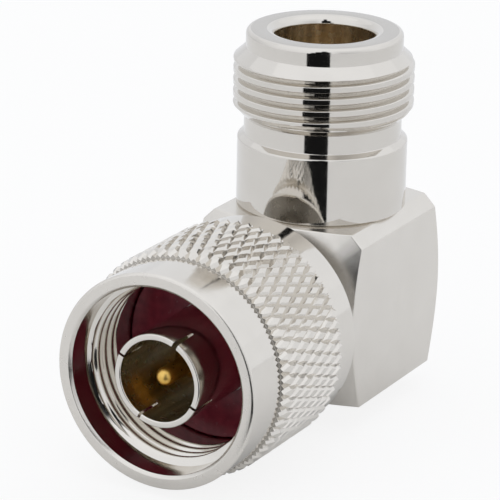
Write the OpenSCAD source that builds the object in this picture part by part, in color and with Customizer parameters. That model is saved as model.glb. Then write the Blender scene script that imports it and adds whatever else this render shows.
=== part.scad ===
// Right-angle coaxial adapter: a plug with a knurled coupling nut on one side,
// a threaded jack on the other and a square elbow block between them.
// Millimetres, +Z up. The origin is the centre of the plug's mating plane,
// +Y runs along the plug axis into the block and the jack points to +Z.

/* [Elbow block] */
// Width across the flats of the square bar
bar_w = 15.75; // [15.2:0.05:18]
// Length of the block along the plug axis
block_l = 17.3; // [16:0.1:20]
// Rounding of the bar's two upper edges
edge_round = 1.1; // [0.3:0.1:2]
// Diameter of the flat circle that the turned cones leave at each end
end_face_d = 13.8; // [13.6:0.1:15.7]
// Slope of the turned cones, measured from the end faces
cone_angle = 25; // [10:1:40]
// Bore of the elbow's inner chamber
chamber_d = 6; // [5:0.1:6.6]
// Wall left between the two spigot bores
spigot_wall = 0.8; // [0.5:0.1:1.2]

/* [Coupling nut] */
// Diameter over the smooth band at the front
band_d = 18.66; // [18.2:0.02:19]
// Length of the smooth band
band_l = 4.44; // [3.5:0.02:5.5]
// Diameter over the collar at the rear
collar_d = 18.92; // [18.4:0.02:19.4]
// Length of the collar
collar_l = 3.25; // [2.5:0.05:4.5]
// Bevel on the nut's outer edges
nut_bevel = 0.3; // [0.1:0.05:0.5]
// Diameter of the plain mouth
mouth_d = 16.4; // [16.1:0.02:16.8]
// Depth of the plain mouth
mouth_l = 2.55; // [1.8:0.05:3.2]
// Bevel on the mouth's inner edge
mouth_bevel = 0.25; // [0.1:0.05:0.4]
// Inner diameter of the nut's thread
nut_thread_d = 14.8; // [14.6:0.02:15.2]
// Length of the nut's thread
nut_thread_l = 2.7; // [2:0.05:4]
// Diameter of the relief behind the nut's thread
relief_d = 16; // [15.6:0.02:16.6]
// How far the nut stands ahead of the mating plane
nut_lead = 0.36; // [0:0.02:0.8]
// Gap between the nut and the block
nut_gap = 2.2; // [1:0.1:3]
// Gap between the gasket and the nut's inner wall
nut_float = 0.5; // [0.3:0.05:1]

/* [Knurl] */
// Teeth round the nut in each row
knurl_teeth = 60; // [48:2:72]
// Rows of teeth along the nut
knurl_rows = 7; // [5:1:8]
// Distance from row to row
knurl_pitch = 1.43; // [1.2:0.01:1.6]
// Height of the teeth
knurl_depth = 0.26; // [0.2:0.02:0.5]
// Radius from the nut's axis to the bottom of the grooves
knurl_root_r = 9.68; // [9.48:0.01:9.8]
// Distance from the knurl's front edge to its first row
knurl_run_in = 0.75; // [0.3:0.05:1]
// Distance from its last row to the knurl's rear edge
knurl_run_out = 0.32; // [0.2:0.02:0.7]

/* [Plug shell] */
// Outer diameter of the slotted sleeve
sleeve_d = 8.13; // [8:0.01:8.3]
// Bore of the slotted sleeve
sleeve_bore_d = 7; // [6.8:0.02:7.2]
// Length of the sleeve ahead of the gasket
sleeve_l = 8.9; // [8.4:0.05:9.4]
// Diameter of the step at the sleeve's root, which the gasket sits round
root_d = 8.8; // [8.5:0.02:9.4]
// How far that step stands out of the gasket
root_l = 0.1; // [0.05:0.05:0.6]
// Rounding of the sleeve's end
sleeve_round = 0.15; // [0.05:0.01:0.2]
// Slots round the sleeve
slot_count = 4; // [2:1:6]
// Turn of the first slot from the +X side
slot_turn = 64; // [0:1:90]
// Length of the slots
slot_l = 2.75; // [2:0.05:6]
// Width of the first slot, which stands open
open_slot_w = 0.52; // [0.3:0.02:0.8]
// Width of the other slots
slot_w = 0.26; // [0.15:0.01:0.4]
// Diameter of the journal that the nut turns on
journal_d = 13.2; // [12.8:0.05:13.6]
// Length of the spigot that is pressed into the block
plug_spigot_l = 4; // [2.5:0.1:4.5]

/* [Gasket and retaining ring] */
// Thickness of the gasket
gasket_t = 1.6; // [1:0.05:2]
// Outer diameter of the gasket
gasket_d = 15.6; // [13.4:0.05:15.7]
// Rounding of the gasket's edges
gasket_round = 0.25; // [0.1:0.05:0.4]
// Thickness of the retaining ring
ring_t = 0.9; // [0.6:0.05:1.2]
// Inner diameter of the retaining ring
ring_bore_d = 11.9; // [11.4:0.05:12.2]
// Outer diameter of the retaining ring
ring_d = 14.2; // [13.9:0.05:14.6]
// Angle of the gap in the retaining ring
ring_gap_angle = 35; // [15:1:60]
// Distance from the nut's inner wall to the retaining ring
ring_setback = 2; // [1.2:0.1:3]

/* [Plug pin] */
// Diameter of the pin's tip
pin_d = 1.6; // [1.4:0.02:1.8]
// Diameter of the pin's body
pin_body_d = 3.04; // [2.8:0.02:3.2]
// Distance from the mating plane to the pin's tip
pin_setback = 0.7; // [0.2:0.05:1.5]
// Length of the pin's tip ahead of its body
pin_tip_l = 4.8; // [3.5:0.1:6]
// Diameter of the pin's tail
tail_d = 1.5; // [1:0.05:1.7]
// How far the tail passes the jack contact's axis
tail_past = 1.1; // [0.5:0.05:1.4]
// Depth of the plug's insulator behind the mating plane
plug_insulator_depth = 12; // [8:0.1:14]

/* [Jack barrel] */
// Diameter of the neck above the block
neck_d = 14.92; // [14.4:0.02:15.4]
// Length of the neck
neck_l = 6.48; // [5:0.02:8]
// Bevel at the top of the neck
neck_bevel = 0.45; // [0.2:0.05:0.6]
// Diameter of the groove under the thread
groove_d = 13.8; // [13.4:0.05:14.2]
// Length of the groove
groove_l = 0.8; // [0.5:0.05:1.5]
// Length of the thread's run-out
run_out_l = 1.1; // [0.6:0.05:1.5]
// Outer diameter of the thread
thread_d = 15.8; // [15.4:0.02:16]
// Length of the full thread
thread_l = 4.3; // [3:0.05:6]
// Distance from one thread to the next
thread_pitch = 1.058; // [0.9:0.002:1.2]
// Depth of the thread
thread_depth = 0.42; // [0.3:0.02:0.5]
// Width of the flat at the bottom of the thread
thread_root_l = 0.1; // [0.05:0.01:0.2]
// Length of the slope from the thread to the nose
lead_l = 1.2; // [0.6:0.05:1.6]
// Diameter of the nose
nose_d = 13.7; // [13.2:0.05:14.4]
// Length of the nose
nose_l = 1.3; // [0.9:0.05:2]
// Rounding of the rim's outer edge
rim_round = 0.4; // [0.2:0.05:0.6]
// Rounding of the mouth's lip
mouth_round = 0.6; // [0.3:0.05:0.8]
// Diameter of the mouth
jack_mouth_d = 8.6; // [8.4:0.02:9]
// Depth of the mouth
jack_mouth_l = 5; // [3:0.05:6]
// Diameter of the bore that grips a plug's sleeve
jack_bore_d = 8.1; // [8:0.02:8.3]
// Depth of that bore below the rim
jack_bore_l = 9.1; // [8.5:0.05:9.6]
// Length of the slope between the mouth and the bore
mouth_slope_l = 0.5; // [0.2:0.05:1]
// Bore that holds the jack's insulator
insulator_d = 7; // [6.6:0.05:7.4]
// Diameter of the spigot that is pressed into the block
jack_spigot_d = 12.6; // [11.5:0.1:13.4]
// Length of that spigot
jack_spigot_l = 1.9; // [1.4:0.05:2.2]
// Distance from the bore's shoulder down to the insulator's face
insulator_setback = 0.3; // [0:0.05:1]

/* [Jack contact] */
// Diameter of the contact
contact_d = 3.04; // [2.8:0.02:3.2]
// Bore that takes a plug's pin
contact_bore_d = 1.66; // [1.4:0.02:1.9]
// Depth of that bore
contact_bore_l = 6; // [4:0.1:8]
// Distance from the foot of the jack's mouth down to the contact's end
contact_setback = 0.2; // [0.1:0.05:1]
// Length of the contact's slots
contact_slot_l = 5; // [3:0.1:6]
// Width of the contact's slots
contact_slot_w = 0.25; // [0.15:0.01:0.4]
// How far the contact passes the plug axis
contact_past = 2.2; // [1.6:0.1:2.6]
// Rounding of the contact's ends
contact_round = 0.3; // [0.1:0.05:0.35]

/* [Clearances] */
// Radial clearance of pieces that are pressed together
press_clear = 0.02; // [0.01:0.005:0.03]
// Radial clearance between the nut and its journal
running_clear = 0.08; // [0.03:0.01:0.1]
// Clearance on each side of the retaining ring in the nut's groove
ring_clear = 0.15; // [0.1:0.05:0.3]

/* [Hidden] */
$fn = 96;
round_steps = 6;
over = 1;
thread_flank = 30;

nickel = [0.80, 0.79, 0.77];
gold = [0.85, 0.62, 0.22];
insulator_white = [0.94, 0.93, 0.90];
gasket_red = [0.42, 0.07, 0.10];

// Places along the plug axis, from the mating plane into the block
knurl_l = knurl_run_in + (knurl_rows - 1) * knurl_pitch + knurl_run_out;
knurl_y = band_l - nut_lead;
collar_y = knurl_y + knurl_l;
nut_rear_y = collar_y + collar_l;
mouth_end_y = mouth_l - nut_lead;
nut_thread_end_y = mouth_end_y + nut_thread_l;
gasket_seat_y = sleeve_l + gasket_t;
nut_wall_y = gasket_seat_y + nut_float;
ring_y = nut_wall_y + ring_setback;
block_y = nut_rear_y + nut_gap;
elbow_y = block_y + block_l / 2;
plug_spigot_y = block_y + plug_spigot_l;
pin_body_y = pin_setback + pin_tip_l;

// Heights above the plug axis
block_top_z = bar_w / 2;
jack_foot_z = block_top_z - jack_spigot_l;
neck_top_z = block_top_z + neck_l;
groove_z = neck_top_z + neck_bevel;
run_out_z = groove_z + groove_l;
thread_z = run_out_z + run_out_l;
lead_z = thread_z + thread_l;
nose_z = lead_z + lead_l;
rim_z = nose_z + nose_l;
mouth_foot_z = rim_z - jack_mouth_l;
jack_shoulder_z = rim_z - jack_bore_l;
insulator_top_z = jack_shoulder_z - insulator_setback;
contact_top_z = mouth_foot_z - contact_setback;

// The jack's thread is drawn as rings, centred in its length
thread_flank_l = thread_depth * tan(thread_flank);
thread_groove_l = thread_root_l + 2 * thread_flank_l;
thread_turns = floor(thread_l / thread_pitch);
first_groove_z = thread_z + (thread_l - (thread_turns - 1) * thread_pitch - thread_groove_l) / 2;

plug_spigot_r = jack_foot_z - spigot_wall;
nut_bore_r = journal_d / 2 + running_clear;

// Points of an arc about a centre
function arc(centre, r, from, to) =
    [for (k = [0 : round_steps])
        let (a = from + (to - from) * k / round_steps)
        centre + r * [cos(a), sin(a)]];

// A shape made along Z lies along the plug axis
module along_plug() {
    rotate([-90, 0, 0]) children();
}

// A shape made along Z stands on the jack axis
module along_jack() {
    translate([0, elbow_y, 0]) children();
}

// Cuts from the end of a tube, evenly spaced about Z
module slots(count, turn, width, length, reach) {
    for (k = [0 : count - 1])
        rotate(turn + k * 360 / count)
            translate([0, -width / 2, -over])
                cube([reach, width, length + over]);
}

// Square bar lying along Z, with the two edges on its -Y side rounded
module bar() {
    half = bar_w / 2;
    mid = half - edge_round;
    rounded = concat(arc([-mid, -mid], edge_round, 180, 270),
                     arc([mid, -mid], edge_round, 270, 360));
    linear_extrude(block_l, center = true)
        polygon(concat([[-half, half]], rounded, [[half, half]]));
}

// Turned shape that bounds the bar: a flat circle and a cone at each end
module turned_ends() {
    face_r = end_face_d / 2;
    out_r = bar_w;
    half = block_l / 2;
    cone_end = half - (out_r - face_r) * tan(cone_angle);
    rotate_extrude()
        polygon([[0, -half], [face_r, -half], [out_r, -cone_end],
                 [out_r, cone_end], [face_r, half], [0, half]]);
}

module elbow_block() {
    color(nickel)
        difference() {
            along_jack() along_plug() intersection() {
                bar();
                turned_ends();
            }
            // Bore for the plug shell's spigot
            translate([0, block_y - over, 0])
                along_plug() cylinder(h = plug_spigot_l + over, r = plug_spigot_r + press_clear);
            // Bore for the jack barrel's spigot
            along_jack() translate([0, 0, jack_foot_z])
                cylinder(h = jack_spigot_l + over, d = jack_spigot_d + 2 * press_clear);
            // Chamber where the two lines meet
            translate([0, plug_spigot_y - over, 0])
                along_plug() cylinder(h = elbow_y - plug_spigot_y + over, d = chamber_d);
            along_jack() translate([0, 0, -chamber_d / 2])
                cylinder(h = jack_foot_z + chamber_d / 2 + over, d = chamber_d);
        }
}

// Grooves of the jack's thread, from the lowest up
function thread_grooves() =
    let (crest_r = thread_d / 2, root_r = crest_r - thread_depth)
    [for (k = [0 : thread_turns - 1])
        let (z = first_groove_z + k * thread_pitch)
        each [[crest_r, z], [root_r, z + thread_flank_l],
              [root_r, z + thread_flank_l + thread_root_l], [crest_r, z + thread_groove_l]]];

module jack_barrel() {
    nose_r = nose_d / 2;
    mouth_r = jack_mouth_d / 2;
    bore_r = jack_bore_d / 2;
    rim_outer = arc([nose_r - rim_round, rim_z - rim_round], rim_round, 0, 90);
    rim_inner = arc([mouth_r + mouth_round, rim_z - mouth_round], mouth_round, 90, 180);
    neck = [[jack_spigot_d / 2, jack_foot_z], [jack_spigot_d / 2, block_top_z],
            [neck_d / 2, block_top_z], [neck_d / 2, neck_top_z],
            [groove_d / 2, groove_z], [groove_d / 2, run_out_z]];
    thread = concat([[thread_d / 2, thread_z]], thread_grooves(),
                    [[thread_d / 2, lead_z], [nose_r, nose_z]]);
    inside = [[mouth_r, mouth_foot_z], [bore_r, mouth_foot_z - mouth_slope_l],
              [bore_r, jack_shoulder_z], [insulator_d / 2, jack_shoulder_z],
              [insulator_d / 2, jack_foot_z]];
    color(nickel)
        along_jack() rotate_extrude()
            polygon(concat(neck, thread, rim_outer, rim_inner, inside));
}

module jack_insulator() {
    color(insulator_white)
        along_jack() translate([0, 0, jack_foot_z]) difference() {
            cylinder(h = insulator_top_z - jack_foot_z, d = insulator_d - 2 * press_clear);
            translate([0, 0, -over])
                cylinder(h = insulator_top_z - jack_foot_z + 2 * over, d = contact_d + 2 * press_clear);
        }
}

module jack_contact() {
    r = contact_d / 2;
    top = arc([r - contact_round, contact_top_z - contact_round], contact_round, 0, 90);
    foot = arc([r - contact_round, contact_round - contact_past], contact_round, -90, 0);
    color(gold)
        difference() {
            along_jack() rotate_extrude()
                polygon(concat([[0, -contact_past]], foot, top, [[0, contact_top_z]]));
            along_jack() translate([0, 0, contact_top_z - contact_bore_l])
                cylinder(h = contact_bore_l + over, d = contact_bore_d);
            along_jack() translate([0, 0, contact_top_z]) mirror([0, 0, 1])
                slots(4, 45, contact_slot_w, contact_slot_l, contact_d);
            // Cross hole for the plug pin's tail
            translate([0, elbow_y - contact_d, 0])
                along_plug() cylinder(h = 2 * contact_d, d = tail_d + 2 * press_clear);
        }
}

module plug_shell() {
    bore_r = sleeve_bore_d / 2;
    sleeve_r = sleeve_d / 2;
    journal_r = journal_d / 2;
    groove_r = ring_bore_d / 2 - press_clear;
    groove_front = ring_y - press_clear;
    groove_rear = ring_y + ring_t + press_clear;
    tip = concat(arc([bore_r + sleeve_round, sleeve_round], sleeve_round, 180, 270),
                 arc([sleeve_r - sleeve_round, sleeve_round], sleeve_round, 270, 360));
    root_r = root_d / 2;
    root_y = sleeve_l - root_l;
    rest = [[sleeve_r, root_y], [root_r, root_y],
            [root_r, gasket_seat_y], [journal_r, gasket_seat_y],
            [journal_r, groove_front], [groove_r, groove_front],
            [groove_r, groove_rear], [journal_r, groove_rear],
            [journal_r, block_y], [plug_spigot_r, block_y],
            [plug_spigot_r, plug_spigot_y], [bore_r, plug_spigot_y]];
    color(nickel)
        along_plug() difference() {
            rotate_extrude() polygon(concat(tip, rest));
            // One slot stands open, the others are narrow
            slots(1, -slot_turn, open_slot_w, slot_l, sleeve_d);
            slots(slot_count, -slot_turn, slot_w, slot_l, sleeve_d);
        }
}

module plug_insulator() {
    length = plug_spigot_y - plug_insulator_depth;
    color(insulator_white)
        translate([0, plug_insulator_depth, 0]) along_plug() difference() {
            cylinder(h = length, d = sleeve_bore_d - 2 * press_clear);
            translate([0, 0, -over])
                cylinder(h = length + 2 * over, d = pin_body_d + 2 * press_clear);
        }
}

module plug_pin() {
    r = pin_d / 2;
    body_r = pin_body_d / 2;
    body_end_y = elbow_y - contact_d / 2 - press_clear;
    tip = arc([0, pin_setback + r], r, 270, 360);
    rest = [[r, pin_body_y - (body_r - r)], [body_r, pin_body_y],
            [body_r, body_end_y], [tail_d / 2, body_end_y],
            [tail_d / 2, elbow_y + tail_past], [0, elbow_y + tail_past]];
    color(gold)
        along_plug() rotate_extrude() polygon(concat(tip, rest));
}

module gasket() {
    inner_r = root_d / 2 + press_clear;
    outer_r = gasket_d / 2;
    front = concat(arc([inner_r + gasket_round, sleeve_l + gasket_round], gasket_round, 180, 270),
                   arc([outer_r - gasket_round, sleeve_l + gasket_round], gasket_round, 270, 360));
    color(gasket_red)
        along_plug() rotate_extrude()
            polygon(concat(front, [[outer_r, gasket_seat_y], [inner_r, gasket_seat_y]]));
}

// Open ring that sits in the shell's groove and keeps the nut on
module retaining_ring() {
    color(nickel)
        translate([0, ring_y, 0]) along_plug()
            rotate([0, 0, ring_gap_angle / 2])
                rotate_extrude(angle = 360 - ring_gap_angle)
                    translate([ring_bore_d / 2, 0])
                        square([(ring_d - ring_bore_d) / 2, ring_t]);
}

// Height of the knurl at a column and level, from 0 in a groove to 1 on a tooth
function tooth(i, j) = (i + j) % 2 == 0 ? 1 : 0;
function knurl_height(i, j) =
    j == 0 ? lerp(tooth(i, 1), tooth(i, 0), knurl_run_in / knurl_pitch) :
    j > knurl_rows ? lerp(tooth(i, j - 1), tooth(i, j), knurl_run_out / knurl_pitch) :
    tooth(i, j);
function lerp(a, b, t) = a + (b - a) * t;
function knurl_level(j) =
    j == 0 ? 0 :
    j > knurl_rows ? knurl_l :
    knurl_run_in + (j - 1) * knurl_pitch;

// Ring of diamond teeth: crossing grooves run from low point to low point
module knurl(inner_r) {
    columns = 2 * knurl_teeth;
    levels = knurl_rows + 2;
    step = 360 / columns;
    outer = [for (j = [0 : levels - 1], i = [0 : columns - 1])
        let (r = knurl_root_r + knurl_depth * knurl_height(i, j))
        [r * cos(i * step), r * sin(i * step), knurl_level(j)]];
    inner = [for (j = [0, levels - 1], i = [0 : columns - 1])
        [inner_r * cos(i * step), inner_r * sin(i * step), knurl_level(j)]];
    last = levels - 1;
    function out(i, j) = j * columns + i % columns;
    function in(i, k) = (levels + k) * columns + i % columns;
    teeth = [for (j = [0 : last - 1], i = [0 : columns - 1])
        each tooth(i, j) == 1
            ? [[out(i, j), out(i, j + 1), out(i + 1, j)],
               [out(i + 1, j), out(i, j + 1), out(i + 1, j + 1)]]
            : [[out(i, j), out(i, j + 1), out(i + 1, j + 1)],
               [out(i, j), out(i + 1, j + 1), out(i + 1, j)]]];
    sides = [for (i = [0 : columns - 1])
        each [[out(i, 0), out(i + 1, 0), in(i + 1, 0), in(i, 0)],
              [out(i + 1, last), out(i, last), in(i, 1), in(i + 1, 1)],
              [in(i, 0), in(i + 1, 0), in(i + 1, 1), in(i, 1)]]];
    polyhedron(points = concat(outer, inner), faces = concat(teeth, sides));
}

module coupling_nut() {
    band_r = band_d / 2;
    collar_r = collar_d / 2;
    mouth_r = mouth_d / 2;
    thread_r = nut_thread_d / 2;
    relief_r = relief_d / 2;
    groove_r = ring_d / 2 + 2 * ring_clear;
    groove_front = ring_y - ring_clear;
    groove_rear = ring_y + ring_t + ring_clear;
    // The collar starts inside the knurl, so the two overlap
    collar_start_y = collar_y - knurl_run_out / 2;
    core_r = band_r - knurl_depth;
    outside = [[mouth_r + mouth_bevel, -nut_lead], [band_r - nut_bevel, -nut_lead],
               [band_r, nut_bevel - nut_lead], [band_r, collar_start_y],
               [collar_r, collar_start_y], [collar_r, nut_rear_y - nut_bevel],
               [collar_r - nut_bevel, nut_rear_y]];
    inside = [[nut_bore_r, nut_rear_y], [nut_bore_r, groove_rear],
              [groove_r, groove_rear], [groove_r, groove_front],
              [nut_bore_r, groove_front], [nut_bore_r, nut_wall_y],
              [relief_r, nut_wall_y], [relief_r, nut_thread_end_y + relief_r - thread_r],
              [thread_r, nut_thread_end_y], [thread_r, mouth_end_y + mouth_r - thread_r],
              [mouth_r, mouth_end_y], [mouth_r, mouth_bevel - nut_lead]];
    color(nickel)
        along_plug() union() {
            rotate_extrude() polygon(concat(outside, inside));
            translate([0, 0, knurl_y]) knurl(core_r);
        }
}

elbow_block();
jack_barrel();
jack_insulator();
jack_contact();
plug_shell();
plug_insulator();
plug_pin();
gasket();
retaining_ring();
coupling_nut();
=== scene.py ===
"""Looks of a right-angle coaxial adapter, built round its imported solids."""

import math
import random

import bmesh
import bpy
from mathutils import Matrix, Vector


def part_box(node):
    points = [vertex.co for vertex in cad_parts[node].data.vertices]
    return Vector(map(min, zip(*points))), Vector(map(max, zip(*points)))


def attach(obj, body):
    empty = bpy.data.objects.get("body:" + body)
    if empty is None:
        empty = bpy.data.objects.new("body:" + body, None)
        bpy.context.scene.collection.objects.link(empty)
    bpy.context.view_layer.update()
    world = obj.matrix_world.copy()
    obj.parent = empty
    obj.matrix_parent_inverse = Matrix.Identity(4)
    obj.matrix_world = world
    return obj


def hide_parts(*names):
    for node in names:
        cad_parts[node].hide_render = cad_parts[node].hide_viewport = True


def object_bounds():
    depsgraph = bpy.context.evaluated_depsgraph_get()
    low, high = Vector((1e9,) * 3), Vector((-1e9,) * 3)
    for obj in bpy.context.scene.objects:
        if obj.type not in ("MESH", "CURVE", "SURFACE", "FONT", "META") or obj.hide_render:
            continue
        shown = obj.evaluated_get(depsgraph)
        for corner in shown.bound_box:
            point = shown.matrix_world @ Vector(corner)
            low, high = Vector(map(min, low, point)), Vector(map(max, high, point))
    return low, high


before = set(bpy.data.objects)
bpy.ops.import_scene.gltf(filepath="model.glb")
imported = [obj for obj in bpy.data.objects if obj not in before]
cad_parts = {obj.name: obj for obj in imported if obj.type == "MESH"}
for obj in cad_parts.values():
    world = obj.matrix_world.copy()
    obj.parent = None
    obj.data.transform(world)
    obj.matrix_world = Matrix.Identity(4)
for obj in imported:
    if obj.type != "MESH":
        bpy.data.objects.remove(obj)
solid_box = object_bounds()

MM = 0.001


def span(node, axis):
    """Lowest and highest place of a solid along one axis, in millimetres."""
    low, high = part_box(node)
    return low[axis] / MM, high[axis] / MM


# Places from the solids, in millimetres
X, Y, Z = 0, 1, 2
NUT_FRONT, NUT_REAR = span("coupling_nut", Y)
KNURL_TIP_R = span("coupling_nut", X)[1]
BLOCK_FRONT, BLOCK_REAR = span("elbow_block", Y)
BLOCK_HALF = span("elbow_block", X)[1]
ELBOW_Y = (BLOCK_FRONT + BLOCK_REAR) / 2
JACK_FOOT, RIM_Z = span("jack_barrel", Z)
THREAD_R = span("jack_barrel", X)[1]
SLEEVE_FRONT, SHELL_REAR = span("plug_shell", Y)
JOURNAL_R = span("plug_shell", X)[1]
GASKET_FRONT, GASKET_REAR = span("gasket", Y)
RING_FRONT, RING_REAR = span("retaining_ring", Y)
RING_R = span("retaining_ring", Z)[1]
PIN_FRONT, PIN_REAR = span("plug_pin", Y)
PIN_BODY_R = span("plug_pin", X)[1]
CONTACT_FOOT, CONTACT_TOP = span("jack_contact", Z)
CONTACT_R = span("jack_contact", X)[1]
PLUG_INSULATOR_FRONT, PLUG_INSULATOR_REAR = span("plug_insulator", Y)
PLUG_INSULATOR_R = span("plug_insulator", X)[1]
JACK_INSULATOR_FOOT, JACK_INSULATOR_TOP = span("jack_insulator", Z)
JACK_INSULATOR_R = span("jack_insulator", X)[1]

# Roundings and allowances that several pieces share
FINE_ROUND = 0.05
EDGE_ROUND = 0.1
BEAD_ROUND = 0.12
SOFT_ROUND = 0.2
FLAT_ALLOWANCE = 0.001
BORE_ALLOWANCE = 0.01
CUT_PAST = 1

# Sizes of the coupling nut
BAND_R = 9.33
BAND_L = 4.44
COLLAR_R = 9.46
COLLAR_L = 3.25
MOUTH_R = 8.1
MOUTH_L = 2.55
MOUTH_BEVEL = 0.25
MOUTH_ROUND = 0.08
NUT_ROUND = 0.26
RIM_FINISH_L = 0.3
NUT_MINOR_R = 7.4
NUT_MAJOR_R = 7.8
NUT_LEAD_L = 0.35
NUT_THREAD_L = 3.6
NUT_RUN_OUT_L = 0.6
RELIEF_R = 8.0
NUT_BORE_R = 6.68
NUT_WALL_ROOM = 0.5
RING_ROOM = 0.15
RING_GROOVE_ROOM = 0.3
NUT_COLUMNS = 120
KNURL_ROWS = 7
KNURL_PITCH = 1.43
KNURL_ROOT_R = 9.68
KNURL_RUN_IN = 0.75
KNURL_RUN_OUT = 0.32
KNURL_FRONT_GROOVE = 0.05
KNURL_FRONT_CREST = 0.28
KNURL_STEP = 0.03
COLLAR_STEP = 0.06
KNURL_TOP_SHARE = 0.54
KNURL_UNEVEN = 0.07
KNURL_SEED = 11
KNURL_SHARP_ANGLE = math.radians(30)

# Sizes of the jack barrel
JACK_COLUMNS = 144
SPIGOT_R = 6.3
NECK_R = 7.46
NECK_L = 5.98
NECK_BEVEL = 0.35
FOOT_GROOVE = 0.14
GROOVE_R = 6.9
GROOVE_L = 1.65
RUN_OUT_L = 1.05
THREAD_L = 4.1
LEAD_L = 0.95
NOSE_R = 6.85
RIM_ROUND = 0.4
LIP_ROUND = 0.75
THREAD_PITCH = 1.058
THREAD_DEPTH = 0.52
THREAD_STEPS = 20
THREAD_SHARES = [k / THREAD_STEPS for k in range(THREAD_STEPS)]
THREAD_FLAT = 0.18
THREAD_START = 0.27
JACK_MOUTH_R = 4.3
JACK_MOUTH_L = 5.0
MOUTH_CONE_L = 0.5
JACK_BORE_R = 4.05
JACK_BORE_L = 9.1
JACK_INSULATOR_BORE_R = 3.5

# Sizes of the elbow block
BLOCK_BEVEL = 1.1
END_FACE_R = 6.9
CONE_ANGLE = math.radians(25)
CHAMBER_R = 3.0
PRESS_GAP = 0.02
BLOCK_EASE = 0.12
BLOCK_EASE_PARTS = 3
BLOCK_EASE_ANGLE = math.radians(22)
BLOCK_SIDE_PARTS = 26
BLOCK_FOOT_PARTS = 28
BLOCK_BEVEL_PARTS = 8

# Sizes of the plug's inner pieces
SLEEVE_R = 4.065
SLEEVE_BORE_R = 3.5
SLEEVE_ROOT_R = 4.4
SLEEVE_ROUND = 0.15
SHELL_COLUMNS = 128
GASKET_LIP_L = 0.3
GASKET_GAP = 0.06
GASKET_LIP_ROUND = 0.06
GASKET_COLUMNS = 96
SLOT_COUNT = 4
SLOT_L = 2.75
SLOT_W = 0.26
OPEN_SLOT_W = 0.56
SLOT_END_W = 0.18
SLOT_TURN = math.radians(26)
SLOT_END_PARTS = 6
PLUG_SPIGOT_R = 5.175
RING_SEAT_R = 5.93
PIN_R = 0.8
PIN_TIP_L = 4.8
PIN_DOME_PARTS = 9
PIN_SHOULDER_L = 0.72
PIN_TAIL_R = 0.75
PIN_TAIL_ROUND = 0.15
PIN_COLUMNS = 64
INSULATOR_COLUMNS = 80
CONTACT_ROUND = 0.3
CONTACT_BORE_R = 0.83
CONTACT_BORE_L = 6.0
DRILL_POINT_L = 0.4
CONTACT_SLOT_L = 5.0
CONTACT_SLOT_W = 0.25
CONTACT_SLOT_TURN = math.pi / 4
CROSS_HOLE_COLUMNS = 48


# Turned shapes

EASE_STEP = math.radians(18)
EASE_LIMIT = 0.48
SHARP_ANGLE = math.radians(38)
NORMAL_WEIGHT = 80
JOIN_DISTANCE = 2e-6
ON_AXIS_R = 1e-6
SPARE_TURNS = 2
BORE_COLUMNS = 96


def place(axis, along, radius, angle):
    """A point at a distance along the plug's or the jack's axis and an angle round it."""
    if axis == "plug":
        return Vector((radius * math.sin(angle), along, radius * math.cos(angle)))
    return Vector((radius * math.cos(angle), ELBOW_Y + radius * math.sin(angle), along))


def eased(corners):
    """Points of a closed outline; each corner is (along, radius, rounding)."""
    points = []
    for k, (along, radius, ease) in enumerate(corners):
        here = Vector((along, radius))
        if ease <= 0:
            points.append(here)
            continue
        before = Vector(corners[k - 1][:2]) - here
        after = Vector(corners[(k + 1) % len(corners)][:2]) - here
        half = before.angle(after) / 2
        room = EASE_LIMIT * min(before.length, after.length)
        reach = min(ease / math.tan(half), room)
        turn = math.pi - 2 * half
        middle = (before.normalized() + after.normalized()).normalized()
        centre = here + middle * (reach / math.cos(half))
        first = here + before.normalized() * reach - centre
        last = here + after.normalized() * reach - centre
        steps = max(2, math.ceil(turn / EASE_STEP))
        for s in range(steps + 1):
            share = s / steps
            arm = first * math.sin((1 - share) * turn) + last * math.sin(share * turn)
            points.append(centre + arm / math.sin(turn))
    return points


def along_line(points, place_along):
    """Height of a line through (along, height) points."""
    for (a, low), (b, high) in zip(points, points[1:]):
        if place_along <= b:
            return low + (high - low) * max(0.0, (place_along - a) / (b - a))
    return points[-1][1]


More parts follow.
